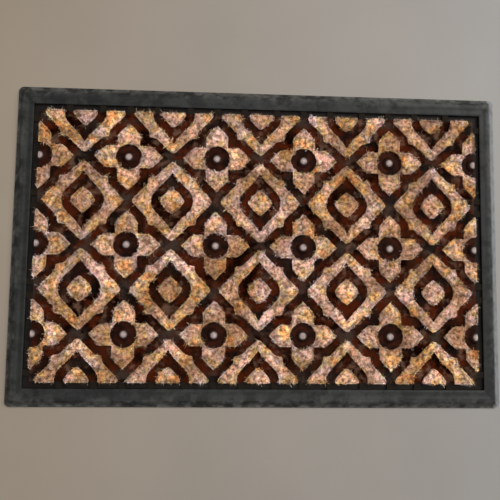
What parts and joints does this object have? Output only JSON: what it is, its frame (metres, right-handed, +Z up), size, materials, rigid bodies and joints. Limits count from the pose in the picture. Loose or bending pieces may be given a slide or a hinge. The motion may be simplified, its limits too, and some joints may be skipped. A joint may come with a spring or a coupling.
{
  "type": "door mat",
  "caption": "Rectangular rubber door mat with a raised border and a coir brush set in it as diamond rings, medallions and four-petalled flowers round rubber studs.",
  "frame": {"origin": "middle of the underside, on the floor", "axes": "+X along the mat's long side, +Y across it, +Z up out of the brush"},
  "size_m": [0.7, 0.4542, 0.0125],
  "materials": {
    "moulded_rubber": "dull moulded rubber, dusty and scuffed",
    "channel_rubber": "dull moulded rubber, stained brown by the coir",
    "coir": "cut coconut-fibre brush, coarse and matt"
  },
  "bodies": {
    "root": {"backing_sheet": "moulded_rubber", "border_frame": "moulded_rubber", "centre_studs": "moulded_rubber", "edge_studs": "moulded_rubber", "channel_net": "channel_rubber", "ring_wells": "channel_rubber", "half_ring_wells": "channel_rubber", "half_medallions_front": "coir", "half_medallions_back": "coir", "diamond_ring_a1": "coir", "diamond_ring_a2": "coir", "diamond_ring_a3": "coir", "diamond_ring_a4": "coir", "diamond_ring_a5": "coir", "diamond_ring_b1": "coir", "diamond_ring_b2": "coir", "diamond_ring_b3": "coir", "diamond_ring_b4": "coir", "diamond_ring_b5": "coir", "medallion_a1": "coir", "medallion_a2": "coir", "medallion_a3": "coir", "medallion_a4": "coir", "medallion_a5": "coir", "medallion_b1": "coir", "medallion_b2": "coir", "medallion_b3": "coir", "medallion_b4": "coir", "medallion_b5": "coir", "flower_a1": "coir", "flower_a2": "coir", "flower_a3": "coir", "flower_a4": "coir", "flower_b1": "coir", "flower_b2": "coir", "flower_b3": "coir", "flower_b4": "coir", "flower_c1": "coir", "flower_c2": "coir", "flower_c3": "coir", "flower_c4": "coir", "half_flower_left_1": "coir", "half_flower_left_2": "coir", "half_flower_left_3": "coir", "half_flower_right_1": "coir", "half_flower_right_2": "coir", "half_flower_right_3": "coir", "half_ring_front_1": "coir", "half_ring_front_2": "coir", "half_ring_front_3": "coir", "half_ring_front_4": "coir", "half_ring_front_5": "coir", "half_ring_back_1": "coir", "half_ring_back_2": "coir", "half_ring_back_3": "coir", "half_ring_back_4": "coir", "half_ring_back_5": "coir"}
  },
  "joints": []
}
